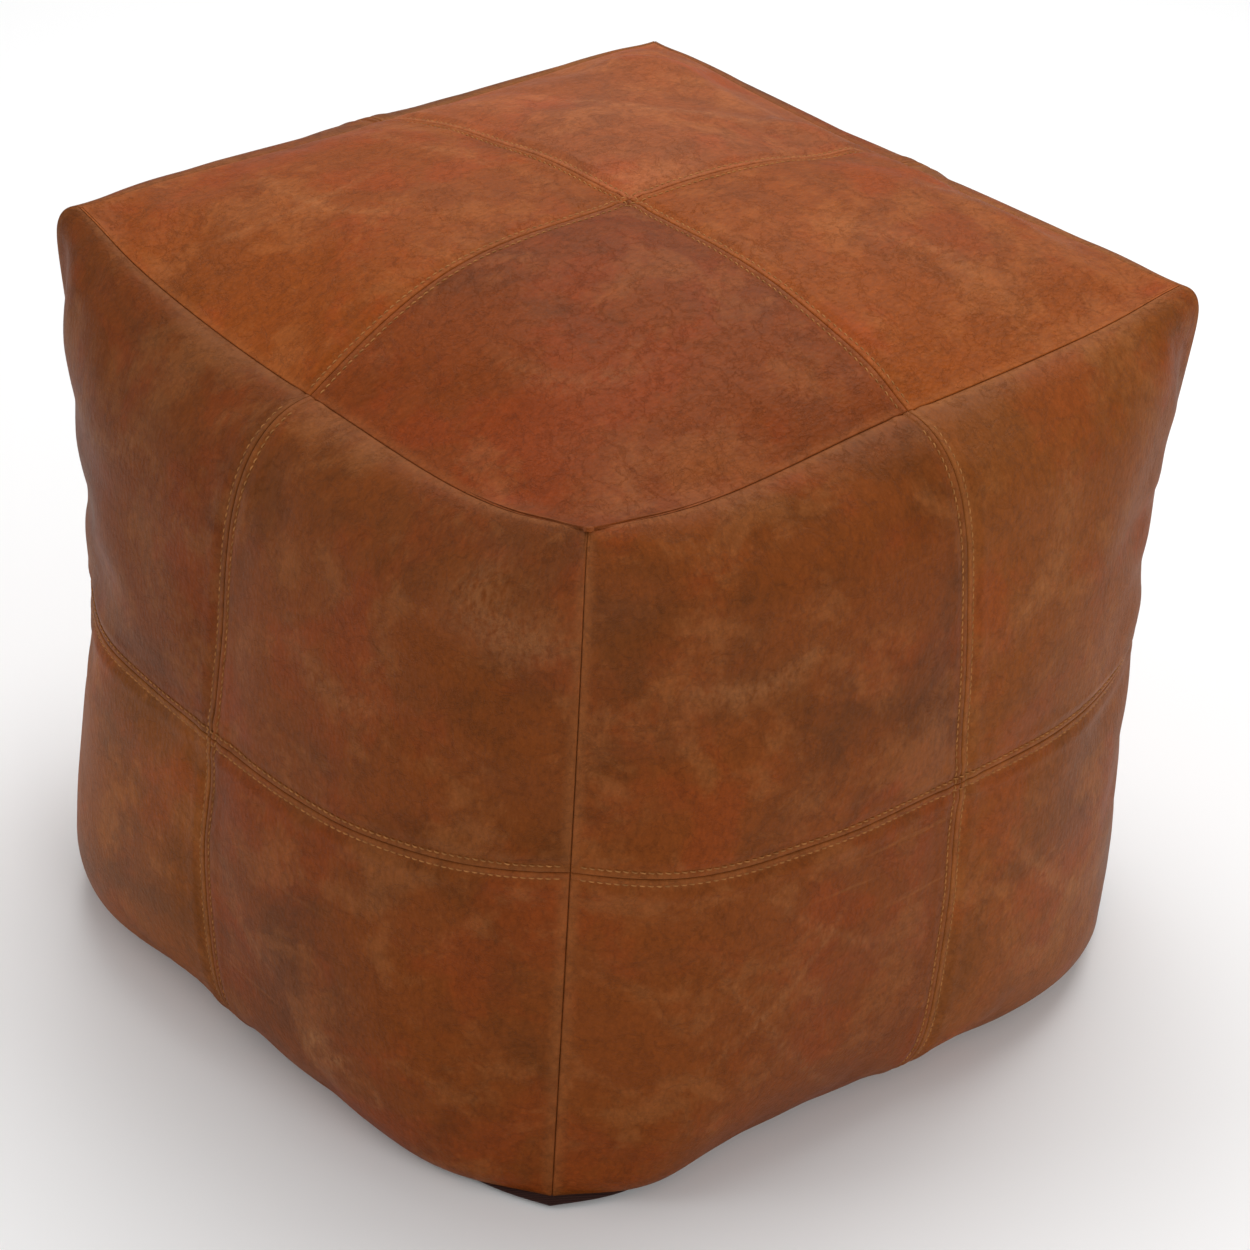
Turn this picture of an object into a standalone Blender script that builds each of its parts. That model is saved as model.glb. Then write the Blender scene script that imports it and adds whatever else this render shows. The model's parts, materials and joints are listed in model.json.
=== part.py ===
"""A square leather pouf, sewn from patches over a filled liner, with a zipped cloth base.

Frame: metres, +Z up, origin at the centre of the footprint on the floor.
The front face looks along -Y, the right face along +X. The base zip runs along X.
"""

import math

import bmesh
import bpy
import numpy as np
from mathutils import Vector

# Cover, measured over the seams of the stuffed pouf
SIDE = 0.450  # between neighbouring upper corners
HEIGHT = 0.427  # floor to upper corner
BULGE = 0.063  # how far the middle of a side face stands proud of its corners
CROWN = 0.025  # how far the middle of the top rises above the corners
TOP_SAG = {"front": 0.030, "right": 0.013, "back": 0.009, "left": 0.002}  # seam's dip between corners
TOP_IN = 0.004  # how far the top seam is drawn in between corners
BASE_OUT = 0.028  # how far the base seam bows outwards
EDGE_PULL = 0.0055  # how far an upright seam is drawn in at half height
MID_RISE = 0.0085  # level seam above the middle of a side face's height
BASE_LIFT = 0.004  # base seam above the floor, between corners
CORNER_LIFT = 0.010  # extra lift of the base seam at a corner

# Leather, cloth and seams
LEATHER = 0.0014
BASE_CLOTH = 0.0012
ALLOWANCE = 0.008  # seam allowance turned to the inside
GAP = 0.0003  # clearance between neighbouring pieces
STITCH_OFFSET = 0.0048  # topstitching row to seam
THREAD_RADIUS = 0.00035
THREAD_STAND = 1.5 * THREAD_RADIUS + GAP  # middle of a stitching row above the leather
CROSSING_STAND = 2.4 * THREAD_RADIUS + GAP  # extra stand where a row passes over another
CROSSING_RAMP = 0.4  # the row climbs to it over this share of its offset, on each side

# Liner and filling
LINER_CLEAR = 0.0035  # liner to the tips of the seam allowances
LINER_DEPTH = ALLOWANCE + LINER_CLEAR  # liner below the cover's outer surface
LINER_WALL = 0.0012
FILL_GAP = 0.002  # filling below the liner's inner surface
SLIT = (0.120, 0.014)  # length and width of the filling slit in the liner's underside

# Zip in the base
ZIP_LENGTH = 0.300  # chain of teeth
ZIP_RECESS = 0.008  # base cloth beside the zip, above the floor
SLOT_HALF = 0.005  # half of the gap between the two base panels
TEETH_THICK = 0.0022
TEETH_HALF = 0.0028  # half width of the closed chain
TOOTH_PITCH = 0.005
TOOTH_REACH = 0.0014  # tooth tip beyond the chain's middle line
TOOTH_CLEAR = 0.00042  # between neighbouring teeth
BEAD = 0.0008  # corded edge that the teeth are fixed to
TAPE_OUTER = 0.015
TAPE_THICK = 0.0006
TAPE_CLEAR = 0.0004  # tape to the base cloth under it
ZIP_HEIGHT = ZIP_RECESS + BASE_CLOTH + TAPE_THICK / 2 + TAPE_CLEAR  # middle of tapes and teeth
TAPE_OVERHANG = 0.012  # tape beyond each end of the chain
TAB_CLEAR = 0.0004  # leather tab to the slot's edges; it closes the slot beyond the zip
TAB_LAP = 0.3  # share of the tape's overhang that the tab covers
TAB_SHORT = 0.003  # the tab stops short of the base seam's line
TAB_STEPS = 6
SLIDER_LENGTH = 0.011
SLIDER_HALF = SLOT_HALF - 0.0006
SLIDER_PLATE = 0.0012
PLATE_GAP = 0.0005  # slider plate to teeth
POST = (0.0020, 0.0007)  # length and half width of the slider's divider
POST_CLEAR = 0.0015  # divider to the first tooth, with the zip closed
SLIDER_FRONT = -ZIP_LENGTH / 2 - POST_CLEAR - POST[0] - SLIDER_PLATE  # its nose, with the zip closed
STOP_LENGTH = 0.003
STOP_CRIMP = 0.0002  # stop's metal above and below the teeth
STOP_INNER = 0.0012  # inner edge of each top stop, from the middle of the zip
PIN_ALONG = 0.4  # place of the pull's pin, as a share of the slider's length
PIN_DROP = 0.0021  # pull's pin below the slider's outer plate
PIN_RADIUS = 0.0007
EYE_BORE = 0.0011
EYE_RADIUS = 0.0019
EYE_HALF = 0.0015
LUG = (0.0018, 0.0010)  # half length and thickness of each lug beside the pull's eye
PULL_LENGTH = 0.024
PULL_HALF = 0.0035
PULL_THICK = 0.0012
NECK_CLEAR = 0.0012  # grip to lugs
NECK_INTO_EYE = EYE_RADIUS - 1.1 * EYE_BORE
NECK_INTO_GRIP = 0.001

# Fineness of the surfaces
CELLS = 5  # along each edge of a leather patch
LEVEL_BEND, UPRIGHT_BEND = 0.2, 0.55  # how much the grid lines close up towards an edge seam
FULLNESS = {"upper": 2.75, "lower": 3.6}  # power of the bulge across a face
SHOULDER = {"upper": 5.4, "lower": 2.9}  # power of the bulge up and down a face
SWELL = 0.51  # power of the roundness above and below

SIDES = {"front": 0, "right": 1, "back": 2, "left": 3}  # quarter turns about Z
HALF = SIDE / 2


def bow(u, level):
    """1 in the middle of an edge, 0 at its ends, for an edge at a level from base -1 to top 1."""
    share = (level + 1) / 2
    return 1 - abs(u) ** (FULLNESS["upper"] * share + FULLNESS["lower"] * (1 - share))


def turned(point, quarter_turns):
    """The point turned about Z by a number of quarter turns."""
    x, y, z = point
    for _ in range(quarter_turns):
        x, y = -y, x
    return np.array((x, y, z))


def seam_lift(u):
    """Height of the base seam above the floor."""
    return BASE_LIFT + CORNER_LIFT * u**4


def side_point(side, u, w):
    """Outer surface of a side face: u runs left to right, w from base seam to top seam, each -1 to 1."""
    share = (w + 1) / 2
    low, high = seam_lift(u), HEIGHT - TOP_SAG[side] * (1 - u * u)
    power = SHOULDER["upper" if w > 0 else "lower"]
    swell = max(0.0, 1 - abs(w) ** power) ** SWELL
    seam_bow = BASE_OUT * (1 - share) - TOP_IN * share
    out = bow(u, w) * (seam_bow + (BULGE - (BASE_OUT - TOP_IN) / 2) * swell)
    edge = HALF - EDGE_PULL * (1 - w * w)
    z = low + (high - low) * share + MID_RISE * bow(u, w) * (1 - w * w)
    return turned((u * edge, -edge - out, z), SIDES[side])


def top_point(a, b):
    """Outer surface of the top: a runs along X and b along Y, each -1 to 1."""
    sag_x = TOP_SAG["right" if a > 0 else "left"] * (1 - b * b) * abs(a) ** FULLNESS["upper"]
    sag_y = TOP_SAG["back" if b > 0 else "front"] * (1 - a * a) * abs(b) ** FULLNESS["upper"]
    z = HEIGHT - sag_x - sag_y + CROWN * bow(a, 1) * bow(b, 1)
    return np.array((a * (HALF - TOP_IN * bow(b, 1)), b * (HALF - TOP_IN * bow(a, 1)), z))


def spaced(bend, count):
    """From 0 to 1 in count steps, closer together towards 1 as bend nears 1."""
    even = np.linspace(0, 1, count + 1)
    return (1 - bend) * even + bend * np.sin(even * math.pi / 2)


def patch_lines(bend):
    """Grid lines of a patch: its mid seam at 0, its stitching row, then on to its edge seam at 1."""
    stitch = STITCH_OFFSET / HALF
    return np.concatenate(([0.0, stitch], stitch + (1 - stitch) * spaced(bend, CELLS)[1:]))


ACROSS = patch_lines(LEVEL_BEND)  # along the seams of the top and the base
UPRIGHT = patch_lines(UPRIGHT_BEND)  # up and down a side face


def base_point(a, b):
    """Outer surface of the base: flat on the floor, turned up at its seam and beside the zip."""
    x, y = a * (HALF + BASE_OUT * bow(b, -1)), b * (HALF + BASE_OUT * bow(a, -1))
    flat, trough_edge, slot = ACROSS[-2], ACROSS[2], SLOT_HALF / HALF
    rise = max(0.0, (max(abs(a), abs(b)) - flat) / (1 - flat)) ** 2
    slope = (trough_edge - abs(b)) / (trough_edge - slot)
    trough = ZIP_RECESS * min(1.0, max(0.0, slope)) * (1 - rise)
    return np.array((x, y, rise * seam_lift(min(abs(a), abs(b))) + trough))


def normal_at(surface, u, v, step=2e-4):
    """Outward unit normal, from points a little to each side, kept inside the face's edges."""
    u0, u1 = max(-1.0, u - step), min(1.0, u + step)
    v0, v1 = max(-1.0, v - step), min(1.0, v + step)
    across, along = surface(u1, v) - surface(u0, v), surface(u, v1) - surface(u, v0)
    found = np.cross(across, along)
    return found / np.linalg.norm(found)


def side_surface(side):
    return lambda u, v: side_point(side, u, v)


def underside(a, b):
    """The base with its second direction reversed, so that its normal points down."""
    return base_point(a, -b)


FACES = {"top": top_point, "base": underside} | {side: side_surface(side) for side in SIDES}


def place_key(point):
    return tuple(np.round(point * 1e5).astype(int).tolist())


class Patch:
    """One cut piece of the cover: a grid of points on a face, and which of its edges are sewn."""

    def __init__(self, name, face, us, vs, sewn="lrbt"):
        self.name, self.face, self.us, self.vs, self.sewn = name, face, list(us), list(vs), sewn
        surface = FACES[face]
        self.points = np.array([[surface(u, v) for u in us] for v in vs])
        self.normals = np.array([[normal_at(surface, u, v) for u in us] for v in vs])
        rows, columns = len(self.vs), len(self.us)
        self.edges = {
            "b": [(0, j) for j in range(columns)],
            "r": [(i, columns - 1) for i in range(rows)],
            "t": [(rows - 1, j) for j in reversed(range(columns))],
            "l": [(i, 0) for i in reversed(range(rows))],
        }


def inward_directions():
    """At each point that a seam can pass, the direction straight in, midway between its faces."""
    slot = SLOT_HALF / HALF
    across = np.unique(np.concatenate((-ACROSS, ACROSS, [-slot, slot])))
    upright = np.unique(np.concatenate((-UPRIGHT, UPRIGHT)))
    total = {}
    for face in FACES:
        whole = Patch(face, face, across, upright if face in SIDES else across)
        for at in np.ndindex(whole.points.shape[:2]):
            total.setdefault(place_key(whole.points[at]), []).append(whole.normals[at])
    return {key: -sum(met) / np.linalg.norm(sum(met)) for key, met in total.items()}


def set_back(patch, inward):
    """Moves sewn edges off their seam by half the gap, and returns the inward direction at each."""
    shifts, turned_in = {}, {}
    for side in patch.sewn:
        line = patch.edges[side]
        places = np.array([patch.points[at] for at in line])
        tangents = np.gradient(places, axis=0)
        for at, place, tangent in zip(line, places, tangents):
            down = inward[place_key(place)]
            aside = np.cross(tangent, down)
            turned_in[at] = down
            shifts.setdefault(at, []).append(aside / np.linalg.norm(aside))
    for at, ways in shifts.items():
        meet = ways[0] if len(ways) == 1 else (ways[0] + ways[1]) / (1 + ways[0] @ ways[1])
        patch.points[at] = patch.points[at] + meet * GAP / 2
    return turned_in


def grid_faces(rows, columns, start=0):
    """Quads of a grid whose points run row by row."""
    return [
        (start + i * columns + j, start + i * columns + j + 1,
         start + (i + 1) * columns + j + 1, start + (i + 1) * columns + j)
        for i in range(rows - 1)
        for j in range(columns - 1)
    ]


def new_object(name, mesh, material, collection, parent=None):
    made = bpy.data.objects.new(name, mesh)
    mesh.materials.append(material)
    collection.objects.link(made)
    made.parent = parent
    return made


def mesh_from(name, points, faces):
    mesh = bpy.data.meshes.new(name)
    mesh.from_pydata([tuple(map(float, p)) for p in points], [], faces)
    mesh.validate()
    return mesh


def thickened(made, wall):
    """Gives an open surface its thickness, on the inside."""
    solid = made.modifiers.new("thickness", "SOLIDIFY")
    solid.thickness = wall
    solid.offset = -1
    return made


def sewn_patch(patch, inward, wall, material, collection):
    """A patch with its seam allowances turned to the inside, as a sheet of the given thickness."""
    keys = {at: place_key(patch.points[at]) for side in patch.sewn for at in patch.edges[side]}
    turned_in = set_back(patch, inward)
    rows, columns = patch.points.shape[:2]
    points = list(patch.points.reshape(-1, 3))
    faces = grid_faces(rows, columns)
    folded = {}
    for at, down in turned_in.items():
        folded[at] = len(points)
        points.append(patch.points[at] + down * ALLOWANCE)
    for side in patch.sewn:
        line = patch.edges[side]
        for first, second in zip(line, line[1:]):
            upper = [first[0] * columns + first[1], second[0] * columns + second[1]]
            around = [upper[1], upper[0], folded[first], folded[second]]
            if keys[first] > keys[second]:
                around = around[1:] + around[:1]
            faces += [tuple(around[:3]), (around[0], *around[2:])]
    made = new_object(patch.name, mesh_from(patch.name, points, faces), material, collection)
    return thickened(made, wall)


def principled(name, colour, roughness, metallic):
    material = bpy.data.materials.new(name)
    material.use_nodes = True
    shader = material.node_tree.nodes["Principled BSDF"]
    shader.inputs["Base Color"].default_value = (*colour, 1)
    shader.inputs["Roughness"].default_value = roughness
    shader.inputs["Metallic"].default_value = metallic
    material.diffuse_color = (*colour, 1)
    return material


LEATHER_ROUGHNESS = 0.55
LEATHERS = {
    "amber": (0.30, 0.085, 0.030),
    "russet": (0.25, 0.063, 0.022),
    "pale": (0.35, 0.114, 0.054),
    "chestnut": (0.155, 0.045, 0.015),
    "walnut": (0.171, 0.061, 0.025),
    "tan": (0.21, 0.071, 0.029),
}
FINISHES = {  # colour, roughness and metallic value
    "base_cloth": ((0.026, 0.009, 0.007), 0.85, 0.0),
    "waxed_thread": ((0.30, 0.14, 0.05), 0.6, 0.0),
    "zip_tape": ((0.035, 0.02, 0.016), 0.9, 0.0),
    "zip_brass": ((0.55, 0.38, 0.15), 0.35, 1.0),
    "calico": ((0.62, 0.56, 0.45), 0.9, 0.0),
    "fibre_filling": ((0.75, 0.73, 0.68), 0.95, 0.0),
}
HIDES = {  # hide that each patch is cut from; all others are chestnut
    "top_front_left": "amber",
    "top_front_right": "russet",
    "top_back_right": "amber",
    "top_back_left": "pale",
    "front_lower_left": "walnut",
    "right_upper_right": "tan",
    "right_lower_right": "tan",
    "back_upper_left": "tan",
    "back_lower_right": "walnut",
    "left_upper_left": "walnut",
}


def halves(lines, names):
    """Grid lines on each side of a mid seam, by name."""
    return {names[0]: -lines[::-1], names[1]: lines}


def top_patches():
    """The four quarters of the top."""
    columns, rows = halves(ACROSS, ("left", "right")), halves(ACROSS, ("front", "back"))
    return [Patch(f"top_{b}_{a}", "top", columns[a], rows[b]) for b in rows for a in columns]


def side_patches():
    """The four quarters of each side face."""
    columns, rows = halves(ACROSS, ("left", "right")), halves(UPRIGHT, ("lower", "upper"))
    return [
        Patch(f"{side}_{row}_{column}", side, columns[column], rows[row])
        for side in SIDES
        for row in rows
        for column in columns
    ]


def base_patches():
    """The two halves of the base, each with an unsewn inner edge beside the zip."""
    across = np.unique(np.concatenate((-ACROSS, ACROSS)))
    outwards = np.concatenate(([SLOT_HALF / HALF], ACROSS[2:]))
    front = Patch("base_front", "base", across, outwards, "lrt")
    back = Patch("base_back", "base", across, -outwards[::-1], "lrb")
    return [front, back]


def base_tab(side, material, collection):
    """A leather strip that closes the slot from the end of the zip to the base seam."""
    way = 1 if side == "right" else -1
    start = (ZIP_LENGTH / 2 + TAPE_OVERHANG * (1 - TAB_LAP)) / (HALF + BASE_OUT)
    steps = np.linspace(start, 1 - TAB_SHORT / HALF, TAB_STEPS)
    half = SLOT_HALF - TAB_CLEAR
    points = []
    for a in steps:
        x, _, z = base_point(way * a, SLOT_HALF / HALF)
        points += [(x, -half, z), (x, half, z)]
    faces = grid_faces(len(steps), 2)
    if way > 0:
        faces = [face[::-1] for face in faces]
    name = f"base_tab_{side}"
    made = new_object(name, mesh_from(name, points, faces), material, collection)
    return thickened(made, BASE_CLOTH)


def row_points(face, seam_along, side, lines):
    """A stitching row beside a mid seam, stepping over the rows that cross it if it was sewn last."""
    surface, stitch = FACES[face], STITCH_OFFSET / HALF
    points = []
    for s in lines:
        u, v = (side * stitch, s) if seam_along == "v" else (s, side * stitch)
        crossing = seam_along == "u" and math.isclose(abs(s), stitch)
        stand = THREAD_STAND + (CROSSING_STAND if crossing else 0)
        points.append(surface(u, v) + normal_at(surface, u, v) * stand)
    return points


def thread_row(name, points, material, collection):
    """A row of topstitching, as a thread laid along its line."""
    curve = bpy.data.curves.new(name, "CURVE")
    curve.dimensions = "3D"
    curve.bevel_depth = THREAD_RADIUS
    curve.bevel_resolution = 0
    curve.use_fill_caps = True
    spline = curve.splines.new("POLY")
    spline.points.add(len(points) - 1)
    for slot, place in zip(spline.points, points):
        slot.co = (*map(float, place), 1)
    return new_object(name, curve, material, collection)


def stitch_rows(material, collection):
    """Two rows beside each mid seam of the top and of every side face."""
    stitch = STITCH_OFFSET / HALF
    for face in ("top", *SIDES):
        for seam_along, words in (("v", ("left", "right")), ("u", ("lower", "upper"))):
            half = UPRIGHT if seam_along == "v" and face in SIDES else ACROSS
            ramp = stitch * CROSSING_RAMP
            half = np.sort(np.concatenate((half[1:], [stitch - ramp, stitch + ramp])))
            half[-1] -= 4 * GAP / HALF  # short of the edge seam
            lines = np.concatenate((-half[::-1], half))
            for word, side in zip(words, (-1, 1)):
                points = row_points(face, seam_along, side, lines)
                thread_row(f"topstitch_{face}_{word}", points, material, collection)


def closed_form(name, depth, slit=None):
    """The cover's own facets, without its stitching rows, drawn in together by at least a depth."""
    across, upright = [np.unique(np.delete((-half, half), 1, axis=1)) for half in (ACROSS, UPRIGHT)]
    middle = np.array((0, 0, HEIGHT / 2))
    scale = 1 - depth / min(HALF, HEIGHT / 2)
    points, quads, seen = [], [], {}
    for face, surface in FACES.items():
        index, rows = [], upright if face in SIDES else across
        for v in rows:
            for u in across:
                place = surface(u, v)
                if place_key(place) not in seen:
                    seen[place_key(place)] = len(points)
                    points.append(middle + (place - middle) * scale)
                index.append(seen[place_key(place)])
        grid = grid_faces(len(rows), len(across))
        quads += [tuple(index[i] for i in quad) for quad in grid]
    mesh = mesh_from(name, points, quads)
    if slit:
        cut_slit(mesh, slit)
    return mesh


def cut_slit(mesh, slit):
    """Opens the filling slit along X in the underside of the liner."""
    work = bmesh.new()
    work.from_mesh(mesh)

    def underside_faces():
        return [face for face in work.faces if face.normal.z < -math.sqrt(0.5)]

    cuts = [((x, 0, 0), (1, 0, 0)) for x in (-slit[0] / 2, slit[0] / 2)]
    cuts += [((0, y, 0), (0, 1, 0)) for y in (-slit[1] / 2, slit[1] / 2)]
    for place, direction in cuts:
        around = set(underside_faces())
        around |= {part for face in around for part in (*face.edges, *face.verts)}
        bmesh.ops.bisect_plane(work, geom=list(around), dist=1e-6, plane_co=place, plane_no=direction)
    middles = {face: face.calc_center_median() for face in underside_faces()}
    inside = [
        face for face, middle in middles.items()
        if abs(middle.x) < slit[0] / 2 and abs(middle.y) < slit[1] / 2
    ]
    bmesh.ops.delete(work, geom=inside, context="FACES")
    work.to_mesh(mesh)
    work.free()


def liner_and_filling(calico, stuffing, collection):
    """The inner bag, with its filling slit, and the filling in it."""
    bag = closed_form("liner_bag", LINER_DEPTH, SLIT)
    thickened(new_object("liner_bag", bag, calico, collection), LINER_WALL)
    fill = closed_form("filling", LINER_DEPTH + LINER_WALL + FILL_GAP)
    new_object("filling", fill, stuffing, collection)


def block(name, low, high, material, collection, origin=(0, 0, 0), parent=None):
    """A box between two corners, with its object's origin at a point."""
    work = bmesh.new()
    bmesh.ops.create_cube(work, size=1)
    low, high = Vector(low), Vector(high)
    for corner in work.verts:
        shares = corner.co + Vector((0.5, 0.5, 0.5))
        span = high - low
        corner.co = low + Vector((shares.x * span.x, shares.y * span.y, shares.z * span.z))
        corner.co -= Vector(origin)
    mesh = bpy.data.meshes.new(name)
    work.to_mesh(mesh)
    work.free()
    made = new_object(name, mesh, material, collection, parent)
    made.location = origin if parent is None else Vector(origin) - parent.location
    return made


def zip_tapes(material, collection):
    """The two woven tapes, which lie on the inside of the base panels."""
    reach = ZIP_LENGTH / 2 + TAPE_OVERHANG
    for side, way in (("front", -1), ("back", 1)):
        near, far = way * (TEETH_HALF + GAP), way * TAPE_OUTER
        low = (-reach, min(near, far), ZIP_HEIGHT - TAPE_THICK / 2)
        high = (reach, max(near, far), ZIP_HEIGHT + TAPE_THICK / 2)
        block(f"zip_tape_{side}", low, high, material, collection)


def zip_chain(side, material, collection):
    """One row of teeth on its corded edge: a flat outline with a tooth at each pitch."""
    way = 1 if side == "back" else -1
    count = int(ZIP_LENGTH / TOOTH_PITCH)
    start = -count * TOOTH_PITCH / 2 + (TOOTH_PITCH / 2 if way > 0 else 0)
    root, tip = TEETH_HALF - BEAD, -TOOTH_REACH
    width = TOOTH_PITCH / 2 - TOOTH_CLEAR
    outline = [(-ZIP_LENGTH / 2, TEETH_HALF), (-ZIP_LENGTH / 2, root)]
    for i in range(count - (way > 0)):
        left = start + i * TOOTH_PITCH + TOOTH_CLEAR / 2
        outline += [(left, root), (left, tip), (left + width, tip), (left + width, root)]
    outline += [(ZIP_LENGTH / 2, root), (ZIP_LENGTH / 2, TEETH_HALF)]
    curve = bpy.data.curves.new(f"zip_teeth_{side}", "CURVE")
    curve.dimensions = "2D"
    curve.fill_mode = "BOTH"
    curve.extrude = TEETH_THICK / 2
    spline = curve.splines.new("POLY")
    spline.points.add(len(outline) - 1)
    for slot, (x, y) in zip(spline.points, outline):
        slot.co = (x, way * y, 0, 1)
    spline.use_cyclic_u = True
    made = new_object(f"zip_teeth_{side}", curve, material, collection)
    made.location.z = ZIP_HEIGHT
    return made


def zip_stops(material, collection):
    """Crimped metal stops: one on each chain at the closed end, one across both at the other end."""
    half = TEETH_THICK / 2 + STOP_CRIMP
    closed = SLIDER_FRONT - GAP
    for side, way in (("front", -1), ("back", 1)):
        edges = sorted((way * STOP_INNER, way * TEETH_HALF))
        low = (closed - STOP_LENGTH, edges[0], ZIP_HEIGHT - half)
        high = (closed, edges[1], ZIP_HEIGHT + half)
        block(f"zip_top_stop_{side}", low, high, material, collection)
    start = ZIP_LENGTH / 2 + GAP
    low = (start, -TEETH_HALF, ZIP_HEIGHT - half)
    high = (start + STOP_LENGTH, TEETH_HALF, ZIP_HEIGHT + half)
    block("zip_bottom_stop", low, high, material, collection)


def cylinder(name, radius, half, place, collection, sides=16):
    """A cylinder along Y, about a point."""
    work = bmesh.new()
    made = bmesh.ops.create_cone(
        work, cap_ends=True, segments=sides, radius1=radius, radius2=radius, depth=2 * half
    )
    for corner in made["verts"]:
        x, y, z = corner.co
        corner.co = (x + place[0], z + place[1], -y + place[2])
    mesh = bpy.data.meshes.new(name)
    work.to_mesh(mesh)
    work.free()
    made = bpy.data.objects.new(name, mesh)
    collection.objects.link(made)
    return made


def add_cut(made, tool, operation):
    """Joins or cuts a helper shape. Helpers are shown as wire and aren't rendered."""
    step = made.modifiers.new(tool.name, "BOOLEAN")
    step.operation = operation
    step.solver = "EXACT"
    step.object = tool
    tool.hide_render = True
    tool.display_type = "WIRE"


def zip_slider(material, collection, helpers):
    """The slider: two plates joined by a divider at the front, with two lugs and a pin for the pull."""
    front, rear = SLIDER_FRONT, SLIDER_FRONT + SLIDER_LENGTH
    face = ZIP_HEIGHT - TEETH_THICK / 2 - PLATE_GAP
    back = ZIP_HEIGHT + TEETH_THICK / 2 + PLATE_GAP
    pin = Vector((front + PIN_ALONG * SLIDER_LENGTH, 0, face - SLIDER_PLATE - PIN_DROP))
    body = block(
        "zip_slider",
        (front, -SLIDER_HALF, face - SLIDER_PLATE),
        (rear, SLIDER_HALF, face),
        material,
        collection,
        origin=tuple(pin),
    )
    plate_low, plate_high = (front, -SLIDER_HALF, back), (rear, SLIDER_HALF, back + SLIDER_PLATE)
    post_x = front + SLIDER_PLATE
    bite = SLIDER_PLATE / 2
    shapes = {
        "slider_inner_plate": (plate_low, plate_high),
        "slider_divider": (
            (post_x, -POST[1], face - bite),
            (post_x + POST[0], POST[1], back + bite),
        ),
    }
    for word, way in (("front", -1), ("back", 1)):
        near, far = sorted((way * (EYE_HALF + GAP), way * (EYE_HALF + GAP + LUG[1])))
        low = (pin.x - LUG[0], near, pin.z - 2 * PIN_RADIUS)
        shapes[f"slider_lug_{word}"] = (low, (pin.x + LUG[0], far, face - bite))
    for name, (low, high) in shapes.items():
        add_cut(body, block(name, low, high, material, helpers), "UNION")
    span = EYE_HALF + GAP + LUG[1] / 2
    add_cut(body, cylinder("slider_pin", PIN_RADIUS, span, pin, helpers), "UNION")
    return body, pin


def zip_pull(slider, pin, material, collection, helpers):
    """The pull: an eye round the slider's pin, a neck between the lugs and a flat grip."""
    neck_end = LUG[0] + NECK_CLEAR
    pull = block(
        "zip_pull",
        pin + Vector((neck_end, -PULL_HALF, -PULL_THICK / 2)),
        pin + Vector((PULL_LENGTH, PULL_HALF, PULL_THICK / 2)),
        material,
        collection,
        origin=tuple(pin),
        parent=slider,
    )
    neck = block(
        "pull_neck",
        pin + Vector((EYE_RADIUS - NECK_INTO_EYE, -EYE_HALF, -PULL_THICK / 2)),
        pin + Vector((neck_end + NECK_INTO_GRIP, EYE_HALF, PULL_THICK / 2)),
        material,
        helpers,
    )
    add_cut(pull, neck, "UNION")
    add_cut(pull, cylinder("pull_eye", EYE_RADIUS, EYE_HALF, pin, helpers), "UNION")
    add_cut(pull, cylinder("pull_bore", EYE_BORE, 2 * EYE_HALF, pin, helpers), "DIFFERENCE")
    return pull


def collection_named(name):
    made = bpy.data.collections.new(name)
    bpy.context.scene.collection.children.link(made)
    return made


def build():
    for old in list(bpy.data.objects):
        bpy.data.objects.remove(old)
    pouf, helpers = collection_named("leather_pouf"), collection_named("helpers")
    hides = {
        name: principled(f"leather_{name}", colour, LEATHER_ROUGHNESS, 0.0)
        for name, colour in LEATHERS.items()
    }
    finish = {name: principled(name, *values) for name, values in FINISHES.items()}
    brass = finish["zip_brass"]
    inward = inward_directions()
    for patch in top_patches() + side_patches():
        sewn_patch(patch, inward, LEATHER, hides[HIDES.get(patch.name, "chestnut")], pouf)
    for patch in base_patches():
        sewn_patch(patch, inward, BASE_CLOTH, finish["base_cloth"], pouf)
    for side in ("left", "right"):
        base_tab(side, hides["walnut"], pouf)
    stitch_rows(finish["waxed_thread"], pouf)
    zip_tapes(finish["zip_tape"], pouf)
    for side in ("front", "back"):
        zip_chain(side, brass, pouf)
    zip_stops(brass, pouf)
    slider, pin = zip_slider(brass, pouf, helpers)
    zip_pull(slider, pin, brass, pouf, helpers)
    liner_and_filling(finish["calico"], finish["fibre_filling"], pouf)


build()
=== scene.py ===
"""A square leather pouf: a filled liner in a cover of twenty leather patches, with a zipped cloth base.

Metres, +Z up, in the frame's own place: the front face looks along -Y, the right face along +X.
"""

import math

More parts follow.
